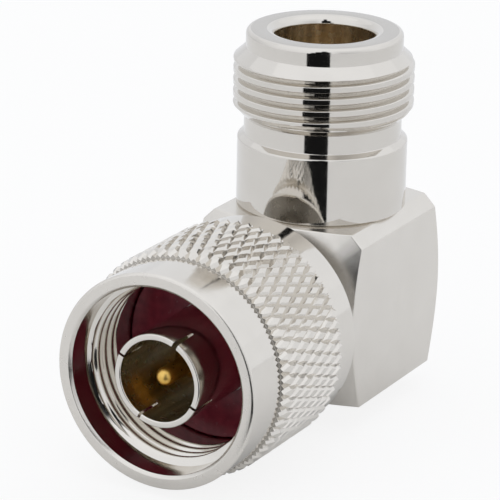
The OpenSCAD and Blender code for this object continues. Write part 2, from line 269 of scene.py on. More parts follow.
class Shape:
    """Points and faces of one piece, in millimetres, with a material number per face."""

    def __init__(self):
        self.points = []
        self.faces = []
        self.finishes = []

    def point(self, at):
        self.points.append(Vector(at))
        return len(self.points) - 1

    def ring(self, axis, along, radius, columns):
        if radius < ON_AXIS_R:
            return [self.point(place(axis, along, 0, 0))] * columns
        step = 2 * math.pi / columns
        return [self.point(place(axis, along, radius, k * step)) for k in range(columns)]

    def face(self, corners, finish=0):
        kept = [c for k, c in enumerate(corners) if c != corners[k - 1]]
        if len(set(kept)) >= 3:
            self.faces.append(kept)
            self.finishes.append(finish)

    def strip(self, lower, upper, finish=0):
        count = len(lower)
        for k in range(count):
            n = (k + 1) % count
            self.face([lower[k], lower[n], upper[n], upper[k]], finish)

    def skin(self, rings, finish=0):
        for lower, upper in zip(rings, rings[1:]):
            self.strip(lower, upper, finish)

    def turned(self, axis, outline, columns, closed=True):
        rings = [self.ring(axis, p.x, p.y, columns) for p in outline]
        if closed:
            rings.append(rings[0])
        self.skin(rings)

    def helix(self, axis, lower, upper, limits, pitch, profile, form, finish=0, start=0.0):
        """A right-handed thread between two rings; its profile is (share of pitch, radius)."""
        low, high = limits
        columns = len(lower)
        steps = len(profile)
        turns = math.ceil((high - low) / pitch) + 1 + SPARE_TURNS
        grid = []
        for c in range(columns):
            angle = 2 * math.pi * c / columns
            column = []
            for k in range(turns * steps):
                phase, radius = profile[k % steps]
                turn = k // steps - SPARE_TURNS + c / columns
                along = low + (turn + start + phase) * pitch
                if along <= low:
                    column.append(lower[c])
                elif along >= high:
                    column.append(upper[c])
                else:
                    column.append(self.point(place(axis, along, form(along, radius), angle)))
            grid.append(column)
        for c in range(columns):
            here = grid[c]
            there = grid[(c + 1) % columns]
            shift = steps if c == columns - 1 else 0
            top = len(there) - 1
            for k in range(len(here) - 1):
                a = there[min(k + shift, top)]
                b = there[min(k + 1 + shift, top)]
                self.face([here[k], a, b, here[k + 1]], finish)

    def make(self, name, finishes):
        mesh = bpy.data.meshes.new(name)
        mesh.from_pydata([p * MM for p in self.points], [], self.faces)
        for finish in finishes:
            mesh.materials.append(finish)
        mesh.polygons.foreach_set("material_index", self.finishes)
        piece = bpy.data.objects.new(name, mesh)
        bpy.context.scene.collection.objects.link(piece)
        tidy(mesh)
        return piece


def tidy(mesh):
    """Joins points that coincide and turns every face outwards."""
    work = bmesh.new()
    work.from_mesh(mesh)
    bmesh.ops.remove_doubles(work, verts=work.verts, dist=JOIN_DISTANCE)
    bmesh.ops.dissolve_degenerate(work, edges=work.edges, dist=JOIN_DISTANCE)
    bmesh.ops.recalc_face_normals(work, faces=work.faces)
    work.to_mesh(mesh)
    work.free()


def smooth(piece, sharp=SHARP_ANGLE):
    """Smooth shading that keeps flat faces flat."""
    piece.data.shade_smooth()
    piece.data.set_sharp_from_angle(angle=sharp)
    normals = piece.modifiers.new("Flat faces stay flat", "WEIGHTED_NORMAL")
    normals.keep_sharp = True
    normals.weight = NORMAL_WEIGHT
    return piece


def applied(piece):
    """Puts the modifiers' result into the piece's mesh."""
    graph = bpy.context.evaluated_depsgraph_get()
    mesh = bpy.data.meshes.new_from_object(piece.evaluated_get(graph))
    piece.modifiers.clear()
    piece.data = mesh
    return piece


def cut(piece, cutters):
    """Takes the cutters' volumes out of a piece."""
    for cutter in cutters:
        change = piece.modifiers.new("Cut", "BOOLEAN")
        change.operation = "DIFFERENCE"
        change.solver = "EXACT"
        change.object = cutter
    applied(piece)
    for cutter in cutters:
        bpy.data.objects.remove(cutter)
    tidy(piece.data)
    return piece


def rod(axis, start, end, radius, columns=BORE_COLUMNS):
    """A plain rod that cuts a bore."""
    shape = Shape()
    corners = [(start, 0), (start, radius), (end, radius), (end, 0)]
    shape.turned(axis, [Vector(c) for c in corners], columns, closed=False)
    return shape.make("cutter", [])


def blade(axis, start, end, widths, reach, angle):
    """A thin plate from the axis outwards that cuts a slot; its round end has a width of its own."""
    shape = Shape()
    wide, narrow = widths
    middle = end - math.copysign(narrow / 2, end - start)
    outline = [(start, -wide / 2), (start, wide / 2)]
    for k in range(SLOT_END_PARTS + 1):
        a = math.pi * k / SLOT_END_PARTS
        outline.append((middle + (end - middle) * math.sin(a), narrow / 2 * math.cos(a)))
    sides = []
    aside = place(axis, 0, 1, angle + math.pi / 2) - place(axis, 0, 0, 0)
    for radius in (0, reach):
        sides.append([shape.point(place(axis, along, radius, angle) + aside * across)
                      for along, across in outline])
    shape.face(sides[0])
    shape.strip(*sides)
    shape.face(sides[1][::-1])
    return shape.make("cutter", [])


def fit(piece, body, node):
    """The piece rides on a body and stands for a solid, which is hidden."""
    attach(piece, body)
    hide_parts(node)


# Materials

NOISE_LOW = 0.3
NOISE_HIGH = 0.7


class Paint:
    """Builds one material's nodes."""

    def __init__(self, name):
        self.material = bpy.data.materials.new(name)
        self.material.use_nodes = True
        self.tree = self.material.node_tree
        self.shader = self.tree.nodes["Principled BSDF"]

    def add(self, kind, **settings):
        node = self.tree.nodes.new(kind)
        for key, value in settings.items():
            setattr(node, key, value)
        return node

    def join(self, out, into):
        self.tree.links.new(out, into)

    def surface(self, out):
        self.join(out, self.tree.nodes["Material Output"].inputs["Surface"])

    def set(self, **values):
        for key, value in values.items():
            self.shader.inputs[key.replace("_", " ")].default_value = value

    def millimetres(self, stretch=(1, 1, 1)):
        """The place on the piece, in millimetres."""
        where = self.add("ShaderNodeTexCoord")
        scale = self.add("ShaderNodeMapping")
        scale.inputs["Scale"].default_value = [s / MM for s in stretch]
        self.join(where.outputs["Object"], scale.inputs["Vector"])
        return scale.outputs["Vector"]

    def rough(self, value, low, high):
        self.join(self.spread(value, low, high), self.shader.inputs["Roughness"])

    def relief(self, normal):
        self.join(normal, self.shader.inputs["Normal"])

    def noise(self, scale, detail=3.0, stretch=(1, 1, 1)):
        node = self.add("ShaderNodeTexNoise")
        node.inputs["Scale"].default_value = scale
        node.inputs["Detail"].default_value = detail
        self.join(self.millimetres(stretch), node.inputs["Vector"])
        return node.outputs["Fac"]

    def spread(self, value, low, high):
        """A noise's usual range, stretched from low to high."""
        node = self.add("ShaderNodeMapRange")
        node.inputs["From Min"].default_value = NOISE_LOW
        node.inputs["From Max"].default_value = NOISE_HIGH
        node.inputs["To Min"].default_value = low
        node.inputs["To Max"].default_value = high
        self.join(value, node.inputs["Value"])
        return node.outputs["Result"]

    def tint(self, value, low, high):
        """Base colour between two tones, by a noise."""
        node = self.add("ShaderNodeValToRGB")
        node.color_ramp.elements[0].position = NOISE_LOW
        node.color_ramp.elements[1].position = NOISE_HIGH
        node.color_ramp.elements[0].color = (*low, 1)
        node.color_ramp.elements[1].color = (*high, 1)
        self.join(value, node.inputs["Fac"])
        self.join(node.outputs["Color"], self.shader.inputs["Base Color"])

    def bump(self, value, height, after=None):
        """Relief of a given height in millimetres, on top of an earlier one."""
        node = self.add("ShaderNodeBump")
        node.inputs["Distance"].default_value = height * MM
        self.join(value, node.inputs["Height"])
        if after is not None:
            self.join(after, node.inputs["Normal"])
        return node.outputs["Normal"]


PLUG_LINES = (0.25, 14.0, 0.25)
JACK_LINES = (0.25, 0.25, 14.0)
EVEN_LINES = (3.0, 3.0, 3.0)
NICKEL_TONES = ((0.71, 0.675, 0.62), (0.735, 0.70, 0.645))
# Dark, brownish tones inside the bores: painted shade and painted reflection of the gold pieces inside
# them
BORE_PAINTED_SHADE_TONES = ((0.42, 0.35, 0.25), (0.88, 0.79, 0.62))
SLEEVE_PAINTED_SHADE_TONES = ((0.52, 0.45, 0.32), (0.76, 0.68, 0.50))


def nickel(name, rough, lines, line_height, grain_height, shade=1.0):
    """Bright nickel plate: faint tool lines, uneven gloss and a slight warm tint."""
    paint = Paint(name)
    paint.set(Metallic=1.0)
    # A shade below 1 darkens the tones; on the knurl's front, the nut's back and the jack's rim it is
    # painted shade
    paint.tint(paint.noise(scale=0.35), *[[shade * c for c in tone] for tone in NICKEL_TONES])
    paint.rough(paint.noise(scale=1.3, detail=5.0), *rough)
    ridges = paint.bump(paint.noise(scale=1.0, detail=2.0, stretch=lines), line_height)
    paint.relief(paint.bump(paint.noise(scale=5.0), grain_height, after=ridges))
    return paint.material


def shaded_bore_plate(name, streaks, lines, tones):
    """Nickel inside a bore with painted shade: dark, brownish tones that stand for shade and for the
    gold's reflection, varying in streaks along its axis.
    """
    paint = Paint(name)
    paint.set(Metallic=1.0)
    paint.tint(paint.noise(scale=1.0, detail=2.0, stretch=streaks), *tones)
    paint.rough(paint.noise(scale=1.3, detail=4.0), low=0.20, high=0.30)
    paint.relief(paint.bump(paint.noise(scale=1.0, detail=2.0, stretch=lines), height=0.001))
    return paint.material


def gold_plate():
    """Gold plate with faint turned lines."""
    paint = Paint("gold plate")
    paint.set(Metallic=1.0)
    paint.tint(paint.noise(scale=1.1), low=(0.74, 0.45, 0.10), high=(0.83, 0.55, 0.16))
    paint.rough(paint.noise(scale=3.0, detail=4.0), low=0.26, high=0.38)
    lines = paint.noise(scale=1.0, detail=2.0, stretch=(0.4, 9.0, 0.4))
    paint.relief(paint.bump(lines, height=0.006))
    return paint.material


def silicone():
    """Dark red silicone rubber with a soft gloss."""
    paint = Paint("dark red silicone")
    paint.set(IOR=1.41, Specular_IOR_Level=0.4)
    paint.tint(paint.noise(scale=1.6, detail=4.0), low=(0.20, 0.021, 0.037), high=(0.28, 0.033, 0.052))
    paint.rough(paint.noise(scale=2.5), low=0.18, high=0.28)
    paint.relief(paint.bump(paint.noise(scale=9.0), height=0.006))
    return paint.material


def fluoropolymer():
    """Matt white fluoropolymer, slightly translucent."""
    paint = Paint("white fluoropolymer")
    paint.set(IOR=1.36, Subsurface_Weight=0.15, Subsurface_Scale=0.001)
    paint.tint(paint.noise(scale=0.8, detail=4.0), low=(0.80, 0.79, 0.755), high=(0.86, 0.855, 0.83))
    paint.rough(paint.noise(scale=2.0), low=0.42, high=0.55)
    paint.relief(paint.bump(paint.noise(scale=6.0), height=0.006))
    return paint.material


nut_nickel = nickel("bright nickel of the nut", rough=(0.07, 0.12),
                    lines=PLUG_LINES, line_height=0.0010, grain_height=0.0006)
rim_nickel = nickel("satin nickel of the nut's rim", rough=(0.20, 0.28),
                    lines=(6.0, 0.3, 6.0), line_height=0.0015, grain_height=0.002)
knurl_nickel = nickel("bright nickel of the knurl", rough=(0.10, 0.17),
                      lines=EVEN_LINES, line_height=0.003, grain_height=0.004)
# The knurl's front is rough, and its colour is also darkened as painted shade
edge_nickel_painted_shade = nickel("rough nickel of the knurl's front with painted shade", rough=(0.42, 0.58),
                     lines=EVEN_LINES, line_height=0.012, grain_height=0.02, shade=0.78)
# The nut's back is rougher, and its colour is darkened to half as painted shade of the gap behind the
# nut
back_nickel_painted_shade = nickel("duller nickel of the nut's back with painted shade", rough=(0.24, 0.34),
                     lines=(5.0, 0.3, 5.0), line_height=0.002, grain_height=0.003, shade=0.5)
shell_nickel = nickel("bright nickel of the sleeve", rough=(0.07, 0.12),
                      lines=PLUG_LINES, line_height=0.0010, grain_height=0.0006)
jack_nickel = nickel("bright nickel of the jack", rough=(0.05, 0.09),
                     lines=JACK_LINES, line_height=0.0006, grain_height=0.0004, shade=0.95)
# The rim's flat face has a rougher turned finish, and its colour is also darkened as painted shade
face_nickel_painted_shade = nickel("turned nickel of the jack's rim with painted shade", rough=(0.14, 0.20),
                     lines=(5.0, 5.0, 0.3), line_height=0.0006, grain_height=0.0008, shade=0.76)
block_nickel = nickel("satin nickel of the block", rough=(0.22, 0.27),
                      lines=(2.0, 0.4, 2.0), line_height=0.0003, grain_height=0.0004)
ring_nickel = nickel("nickel of the retaining ring", rough=(0.16, 0.26),
                     lines=EVEN_LINES, line_height=0.002, grain_height=0.003)
# The bores' dark, brownish tones are painted shade and painted reflection of the gold inside
bore_nickel_painted_shade = shaded_bore_plate("nickel of the jack's bore with painted shade", streaks=(1.7, 1.7, 0.04),
                         lines=JACK_LINES, tones=BORE_PAINTED_SHADE_TONES)
sleeve_nickel_painted_shade = shaded_bore_plate("nickel of the sleeve's bore with painted shade", streaks=(1.7, 0.04, 1.7),
                           lines=PLUG_LINES, tones=SLEEVE_PAINTED_SHADE_TONES)
gold = gold_plate()
rubber = silicone()
white_plastic = fluoropolymer()


# Coupling nut


def tooth(i, j):
    """Whether a column and row of the knurl's grid is the middle of a tooth."""
    return (i + j) % 2 == 1


def nut_piece():
    """The nut as one closed skin: mouth, band, knurl, collar, bore, ring groove and thread."""
    band, rim, teeth, inner, edge, back = range(6)
    shape = Shape()
    knurl_y = NUT_FRONT + BAND_L
    collar_y = NUT_REAR - COLLAR_L
    depth = KNURL_TIP_R - KNURL_ROOT_R
    step = 2 * math.pi / NUT_COLUMNS
    levels = [knurl_y + KNURL_RUN_IN + j * KNURL_PITCH for j in range(KNURL_ROWS)]

    def knurl_point(column, along, height):
        return shape.point(place("plug", along, KNURL_ROOT_R + depth * height, column * step))

    # Low points between the teeth, and the four corners of each tooth's flat top
    chance = random.Random(KNURL_SEED)
    top = KNURL_TOP_SHARE
    lows = {}
    tops = {}
    for j, level in enumerate(levels):
        for i in range(NUT_COLUMNS):
            if tooth(i, j):
                corners = []
                for across, up in ((top, 0), (0, top), (-top, 0), (0, -top)):
                    height = 1 - KNURL_UNEVEN * chance.random()
                    ease = 1 + KNURL_UNEVEN * chance.uniform(-1, 1)
                    corners.append((i + across * ease, level + up * ease * KNURL_PITCH, height))
                tops[i, j] = corners
            else:
                lows[i, j] = knurl_point(i, level, KNURL_UNEVEN * chance.uniform(-1, 1))

    def low(i, j):
        return lows[i % NUT_COLUMNS, j]

    # Each end cuts through a row of teeth and the half teeth between; the front one slopes to the band
    front_heights = [(BAND_R + rise - KNURL_ROOT_R) / depth
                     for rise in (KNURL_FRONT_GROOVE, KNURL_FRONT_CREST)]
    ends = {}
    for j, run, along, (foot, peak) in ((0, KNURL_RUN_IN, knurl_y, front_heights),
                                        (KNURL_ROWS - 1, KNURL_RUN_OUT, collar_y, (0, 1))):
        share = run / KNURL_PITCH
        crests = []
        grooves = []
        for i in range(NUT_COLUMNS):
            far = share if tooth(i, j) else 1 - share
            if far >= top:
                height = foot + (peak - foot) * (1 - far) / (1 - top)
                crests.append([knurl_point(i, along, height)])
            else:
                half = top - far
                crests.append([knurl_point(i + side * half, along, peak) for side in (-1, 1)])
            grooves.append(knurl_point(i + 1 - far, along, foot))
        ends[j] = (share, crests, grooves)

    for (i, j), corners in tops.items():
        after = (i + 1) % NUT_COLUMNS
        before = (i - 1) % NUT_COLUMNS
        east = knurl_point(*corners[0])
        west = knurl_point(*corners[2])
        caps = []
        for side, last, corner in ((1, KNURL_ROWS - 1, corners[1]), (-1, 0, corners[3])):
            if j != last:
                cap = [knurl_point(*corner)]
                foot = low(i, j + side)
                right = [foot]
                left = [foot]
            else:
                share, crests, grooves = ends[j]
                cut_off = share < top
                cap = crests[i] if cut_off else [knurl_point(*corner)]
                right = [grooves[i]] if cut_off else [grooves[i], crests[i][0]]
                left = [grooves[before]] if cut_off else [grooves[before], crests[i][0]]
            caps.append(cap)
            shape.face([east, low(after, j), *right, cap[-1]], teeth)
            shape.face([west, low(before, j), *left, cap[0]], teeth)
        shape.face([east, *caps[0][::-1], west], teeth)
        shape.face([west, *caps[1], east], teeth)
    for j, (_, crests, grooves) in ends.items():
        for i in range(NUT_COLUMNS):
            if not tooth(i, j):
                shape.face([low(i, j), crests[i][0], grooves[i - 1]], teeth)
                shape.face([low(i, j), grooves[i], crests[i][-1]], teeth)
                shape.face([low(i, j), crests[i][-1], crests[i][0]], teeth)

    # Plain turned runs on both sides of the knurl
    thread_start = NUT_FRONT + MOUTH_L
    thread_end = thread_start + NUT_THREAD_L
    relief_start = thread_end + NUT_RUN_OUT_L
    wall_y = GASKET_REAR + NUT_WALL_ROOM
    groove_front = RING_FRONT - RING_ROOM
    groove_rear = RING_REAR + RING_ROOM
    groove_r = RING_R + RING_GROOVE_ROOM
    front = eased([(thread_start, MOUTH_R, 0), (NUT_FRONT + MOUTH_BEVEL, MOUTH_R, MOUTH_ROUND),
                   (NUT_FRONT, MOUTH_R + MOUTH_BEVEL, BEAD_ROUND), (NUT_FRONT, BAND_R, NUT_ROUND),
                   (knurl_y - KNURL_STEP, BAND_R, 0), (knurl_y, BAND_R + KNURL_STEP, 0)])
    rear = eased([(collar_y, KNURL_ROOT_R - KNURL_STEP, 0),
                  (collar_y + COLLAR_STEP, COLLAR_R, FINE_ROUND),
                  (NUT_REAR, COLLAR_R, NUT_ROUND), (NUT_REAR, NUT_BORE_R, BEAD_ROUND),
                  (groove_rear, NUT_BORE_R, 0), (groove_rear, groove_r, 0),
                  (groove_front, groove_r, 0), (groove_front, NUT_BORE_R, 0),
                  (wall_y, NUT_BORE_R, EDGE_ROUND), (wall_y, RELIEF_R, EDGE_ROUND),
                  (relief_start, RELIEF_R, 0)])

    def rings(points):
        return [shape.ring("plug", p.x, p.y, NUT_COLUMNS) for p in points]

    front_rings = rings(front)
    rear_rings = rings(rear)
    shoulder = max(k for k, p in enumerate(front) if p.x < NUT_FRONT + RIM_FINISH_L)
    shape.skin(front_rings[:2], inner)
    shape.skin(front_rings[1:shoulder + 1], rim)
    shape.skin(front_rings[shoulder:-1], band)
    shape.skin(front_rings[-2:], edge)
    heel = [k for k, p in enumerate(rear) if p.x > NUT_REAR - FLAT_ALLOWANCE]
    shape.skin(rear_rings[:heel[0] + 1], band)
    shape.skin(rear_rings[heel[0]:heel[-1] + 1], back)
    shape.skin(rear_rings[heel[-1]:], inner)
    for (_, crests, grooves), plain, finish in ((ends[0], front_rings[-1], edge),
                                                (ends[KNURL_ROWS - 1], rear_rings[0], teeth)):
        for i in range(NUT_COLUMNS):
            after = (i + 1) % NUT_COLUMNS
            here = crests[i]
            there = crests[after]
            shape.face([plain[i], plain[after], there[0], grooves[i], here[-1]], finish)
            if len(here) > 1:
                shape.face([plain[i], here[1], here[0]], finish)

    # The thread fades out into the mouth and into the room round the gasket
    limits = [(thread_start, MOUTH_R), (thread_start + NUT_LEAD_L, NUT_MINOR_R),
              (thread_end, NUT_MINOR_R), (relief_start, RELIEF_R)]
    deep = NUT_MAJOR_R - NUT_MINOR_R
    profile = [(share, NUT_MINOR_R + deep * math.sin(math.pi * share) ** 2)
               for share in THREAD_SHARES]
    shape.helix("plug", front_rings[0], rear_rings[-1], (thread_start, relief_start), THREAD_PITCH,
                profile, lambda along, radius: max(radius, along_line(limits, along)), inner)
    piece = shape.make("coupling_nut_skin", [nut_nickel, rim_nickel, knurl_nickel, nut_nickel,
                                             edge_nickel_painted_shade, back_nickel_painted_shade])
    fit(smooth(piece, KNURL_SHARP_ANGLE), "nut", "coupling_nut")


# Jack barrel


def crest(share):
    """Height of the jack's thread, from 0 in its groove to 1 on its crest, at a share of the pitch."""
    away = min(share, 1 - share)
    slope = max(0.0, (away - THREAD_FLAT) / (0.5 - THREAD_FLAT))
    return 1 - slope * slope * (3 - 2 * slope)


def jack_piece():
    """The jack's turned barrel with its thread."""
    barrel, bore, face = range(3)
    shape = Shape()
    block_top = BLOCK_HALF
    neck_top = block_top + NECK_L
    groove_z = neck_top + NECK_BEVEL
    run_out_z = groove_z + GROOVE_L
    thread_z = run_out_z + RUN_OUT_L
    lead_z = thread_z + THREAD_L
    nose_z = lead_z + LEAD_L
    mouth_foot = RIM_Z - JACK_MOUTH_L
    shoulder = RIM_Z - JACK_BORE_L
    outline = eased([(run_out_z, GROOVE_R, 0), (groove_z, GROOVE_R, EDGE_ROUND),
                     (neck_top, NECK_R, SOFT_ROUND), (block_top + FOOT_GROOVE, NECK_R, FINE_ROUND),
                     (block_top, NECK_R - FOOT_GROOVE, 0), (block_top, SPIGOT_R, 0),
                     (JACK_FOOT, SPIGOT_R, EDGE_ROUND), (JACK_FOOT, JACK_INSULATOR_BORE_R, EDGE_ROUND),
                     (shoulder, JACK_INSULATOR_BORE_R, FINE_ROUND), (shoulder, JACK_BORE_R, EDGE_ROUND),
                     (mouth_foot - MOUTH_CONE_L, JACK_BORE_R, SOFT_ROUND),
                     (mouth_foot, JACK_MOUTH_R, SOFT_ROUND), (RIM_Z, JACK_MOUTH_R, LIP_ROUND),
                     (RIM_Z, NOSE_R, RIM_ROUND), (nose_z, NOSE_R, 0)])
    rings = [shape.ring("jack", p.x, p.y, JACK_COLUMNS) for p in outline]
    inside = [k for k, p in enumerate(outline) if p.y < JACK_MOUTH_R + BORE_ALLOWANCE]
    level = [k for k, p in enumerate(outline) if p.x > RIM_Z - FLAT_ALLOWANCE]
    stops = [(0, barrel), (inside[0], bore), (inside[-1], barrel), (level[0], face),
             (level[-1], barrel), (len(rings) - 1, barrel)]
    for (begin, finish), (end, _) in zip(stops, stops[1:]):
        shape.skin(rings[begin:end + 1], finish)
    limits = [(run_out_z, GROOVE_R), (thread_z, THREAD_R), (lead_z, THREAD_R), (nose_z, NOSE_R)]
    profile = [(share, THREAD_R - THREAD_DEPTH * (1 - crest(share))) for share in THREAD_SHARES]
    shape.helix("jack", rings[0], rings[-1], (run_out_z, nose_z), THREAD_PITCH, profile,
                lambda along, radius: min(radius, along_line(limits, along)), start=THREAD_START)
    piece = shape.make("jack_barrel_skin", [jack_nickel, bore_nickel_painted_shade, face_nickel_painted_shade])
    fit(smooth(piece), "body", "jack_barrel")


# Elbow block


def bar_radius(angle):
    """Distance from the bar's axis to its outline; its two upper edges are bevelled."""
    across = abs(math.sin(angle))
    up = math.cos(angle)
    reach = BLOCK_HALF / max(across, abs(up))
    if up > 0:
        reach = min(reach, (2 * BLOCK_HALF - BLOCK_BEVEL) / (across + up))
    return reach


def block_piece():
    """Square bar with two bevelled edges whose ends are turned to a cone."""
    shape = Shape()
    turn = math.pi / 4
    flat = math.atan2(BLOCK_HALF - BLOCK_BEVEL, BLOCK_HALF)
    stops = [(-flat, BLOCK_SIDE_PARTS), (flat, BLOCK_BEVEL_PARTS), (2 * turn - flat, BLOCK_SIDE_PARTS),
             (3 * turn, BLOCK_FOOT_PARTS), (5 * turn, BLOCK_SIDE_PARTS),
             (6 * turn + flat, BLOCK_BEVEL_PARTS), (8 * turn - flat, 0)]
    angles = []
    for (begin, parts), (end, _) in zip(stops, stops[1:]):
        angles += [begin + (end - begin) * s / parts for s in range(parts)]
    slope = math.tan(CONE_ANGLE)
    face_front = []
    edge_front = []
    edge_rear = []
    face_rear = []
    for a in angles:
        reach = bar_radius(a)
        drop = (reach - END_FACE_R) * slope
        face_front.append(shape.point(place("plug", BLOCK_FRONT, END_FACE_R, a)))
        edge_front.append(shape.point(place("plug", BLOCK_FRONT + drop, reach, a)))
        edge_rear.append(shape.point(place("plug", BLOCK_REAR - drop, reach, a)))
        face_rear.append(shape.point(place("plug", BLOCK_REAR, END_FACE_R, a)))
    shape.face(face_front)
    shape.skin([face_front, edge_front, edge_rear, face_rear])
    shape.face(face_rear[::-1])
    piece = shape.make("elbow_block_skin", [block_nickel])
    ease = piece.modifiers.new("Eased edges", "BEVEL")
    ease.width = BLOCK_EASE * MM
    ease.segments = BLOCK_EASE_PARTS
    ease.limit_method = "ANGLE"
    ease.angle_limit = BLOCK_EASE_ANGLE
    applied(piece)
    cut(piece, [rod("plug", BLOCK_FRONT - CUT_PAST, SHELL_REAR, PLUG_SPIGOT_R + PRESS_GAP),
                rod("jack", JACK_FOOT, BLOCK_HALF + CUT_PAST, SPIGOT_R + PRESS_GAP),
                rod("plug", SHELL_REAR - CUT_PAST, ELBOW_Y, CHAMBER_R),
                rod("jack", -CHAMBER_R, JACK_FOOT + CUT_PAST, CHAMBER_R)])
    fit(smooth(piece), "body", "elbow_block")


# Pieces inside the plug


def shell_piece():
    """Slotted sleeve, journal and spigot of the plug."""
    shape = Shape()
    root_y = GASKET_FRONT + GASKET_LIP_L + PRESS_GAP
    seat_front = RING_FRONT - PRESS_GAP
    seat_rear = RING_REAR + PRESS_GAP
    outline = eased([(SLEEVE_FRONT, SLEEVE_BORE_R, SLEEVE_ROUND), (SLEEVE_FRONT, SLEEVE_R, SLEEVE_ROUND),
                     (root_y, SLEEVE_R, 0), (root_y, SLEEVE_ROOT_R, 0),
                     (GASKET_REAR, SLEEVE_ROOT_R, 0), (GASKET_REAR, JOURNAL_R, EDGE_ROUND),
                     (seat_front, JOURNAL_R, 0), (seat_front, RING_SEAT_R, 0),
                     (seat_rear, RING_SEAT_R, 0), (seat_rear, JOURNAL_R, 0),
                     (BLOCK_FRONT, JOURNAL_R, 0), (BLOCK_FRONT, PLUG_SPIGOT_R, 0),
                     (SHELL_REAR, PLUG_SPIGOT_R, EDGE_ROUND), (SHELL_REAR, SLEEVE_BORE_R, EDGE_ROUND)])
    rings = [shape.ring("plug", p.x, p.y, SHELL_COLUMNS) for p in outline]
    bore = [k for k, p in enumerate(outline) if p.y < SLEEVE_BORE_R + BORE_ALLOWANCE]
    shape.skin(rings[bore[0]:bore[-1] + 1])
    shape.strip(rings[bore[-1]], rings[bore[0]], finish=1)
    piece = shape.make("plug_shell_skin", [shell_nickel, sleeve_nickel_painted_shade])
    blades = []
    for k in range(SLOT_COUNT):
        width = OPEN_SLOT_W if k == 0 else SLOT_W
        turn = SLOT_TURN - k * 2 * math.pi / SLOT_COUNT
        blades.append(blade("plug", SLEEVE_FRONT - CUT_PAST, SLEEVE_FRONT + SLOT_L,
                            (width, SLOT_END_W), SLEEVE_R + CUT_PAST, turn))
    cut(piece, blades)
    fit(smooth(piece), "body", "plug_shell")


def pin_piece():
    """Plug pin with a domed tip, a shoulder and a tail."""
    shape = Shape()
    body_y = PIN_FRONT + PIN_TIP_L
    body_end = ELBOW_Y - CONTACT_R - PRESS_GAP
    dome = []
    for k in range(PIN_DOME_PARTS):
        a = math.pi / 2 * k / PIN_DOME_PARTS
        dome.append(Vector((PIN_FRONT + PIN_R * (1 - math.cos(a)), PIN_R * math.sin(a))))
    stem = eased([(PIN_FRONT + PIN_R, PIN_R, 0), (body_y - PIN_SHOULDER_L, PIN_R, EDGE_ROUND),
                  (body_y, PIN_BODY_R, BEAD_ROUND), (body_end, PIN_BODY_R, EDGE_ROUND),
                  (body_end, PIN_TAIL_R, 0), (PIN_REAR, PIN_TAIL_R, PIN_TAIL_ROUND), (PIN_REAR, 0, 0)])
    shape.turned("plug", dome + stem, PIN_COLUMNS, closed=False)
    piece = shape.make("plug_pin_skin", [gold])
    fit(smooth(piece), "body", "plug_pin")


def gasket_piece():
    """Soft ring round the sleeve's root, with a lip that closes on the sleeve."""
    shape = Shape()
    inner = SLEEVE_ROOT_R + PRESS_GAP
    lip = SLEEVE_R + PRESS_GAP
    lip_end = GASKET_FRONT + GASKET_LIP_L
    outer = RELIEF_R - GASKET_GAP
    outline = eased([(GASKET_FRONT, lip, GASKET_LIP_ROUND), (GASKET_FRONT, outer, SOFT_ROUND),
                     (GASKET_REAR, outer, EDGE_ROUND), (GASKET_REAR, inner, FINE_ROUND),
                     (lip_end, inner, 0), (lip_end, lip, 0)])
    shape.turned("plug", outline, GASKET_COLUMNS)
    piece = shape.make("gasket_skin", [rubber])
    fit(smooth(piece), "body", "gasket")


def insulator_piece(node, axis, start, end, radius, held_r):
    """White sleeve that holds the pin or the contact."""
    shape = Shape()
    bore = held_r + PRESS_GAP
    corners = [(start, bore), (start, radius), (end, radius), (end, bore)]
    shape.turned(axis, eased([(*c, BEAD_ROUND) for c in corners]), INSULATOR_COLUMNS)
    piece = shape.make(f"{node}_skin", [white_plastic])
    fit(smooth(piece), "body", node)


def contact_piece():
    """Jack contact: a slotted tube that takes a plug's pin."""
    shape = Shape()
    bore_foot = CONTACT_TOP - CONTACT_BORE_L
    outline = eased([(CONTACT_FOOT, 0, 0), (CONTACT_FOOT, CONTACT_R, CONTACT_ROUND),
                     (CONTACT_TOP, CONTACT_R, CONTACT_ROUND), (CONTACT_TOP, CONTACT_BORE_R, SOFT_ROUND),
                     (bore_foot, CONTACT_BORE_R, 0), (bore_foot - DRILL_POINT_L, 0, 0)])
    shape.turned("jack", outline, PIN_COLUMNS, closed=False)
    piece = shape.make("jack_contact_skin", [gold])
    cutters = [rod("plug", ELBOW_Y - 2 * CONTACT_R, ELBOW_Y + 2 * CONTACT_R,
                   PIN_TAIL_R + PRESS_GAP, CROSS_HOLE_COLUMNS)]
    for k in range(SLOT_COUNT):
        turn = CONTACT_SLOT_TURN + k * 2 * math.pi / SLOT_COUNT
        cutters.append(blade("jack", CONTACT_TOP + CUT_PAST, CONTACT_TOP - CONTACT_SLOT_L,
                             (CONTACT_SLOT_W, CONTACT_SLOT_W), CONTACT_R + CUT_PAST, turn))
    cut(piece, cutters)
    fit(smooth(piece), "body", "jack_contact")


nut_piece()
jack_piece()
block_piece()
shell_piece()
pin_piece()
gasket_piece()
insulator_piece("plug_insulator", "plug", PLUG_INSULATOR_FRONT, PLUG_INSULATOR_REAR,
                PLUG_INSULATOR_R, PIN_BODY_R)
insulator_piece("jack_insulator", "jack", JACK_INSULATOR_TOP, JACK_INSULATOR_FOOT,
                JACK_INSULATOR_R, CONTACT_R)
contact_piece()
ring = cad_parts["retaining_ring"]
ring.data.materials.clear()
ring.data.materials.append(ring_nickel)


# Floor, light and camera

FLOOR_HALF = 1.5
FLOOR_DROP = 0.0001
FLOOR_Z = solid_box[0].z - FLOOR_DROP
FLOOR_TONE = 0.79
FLOOR_CAMERA_WHITE = 0.86
FLOOR_MIRROR_WHITE = 0.1
TENT_RADIUS = 0.6
TENT_HEIGHT = 0.84
TENT_COLUMNS = 96
LID_LEVEL = 1.1
DAYLIGHT = (0.975, 1.0, 1.05)
OPENING_START = 3.0
OPENING_END = 36.0
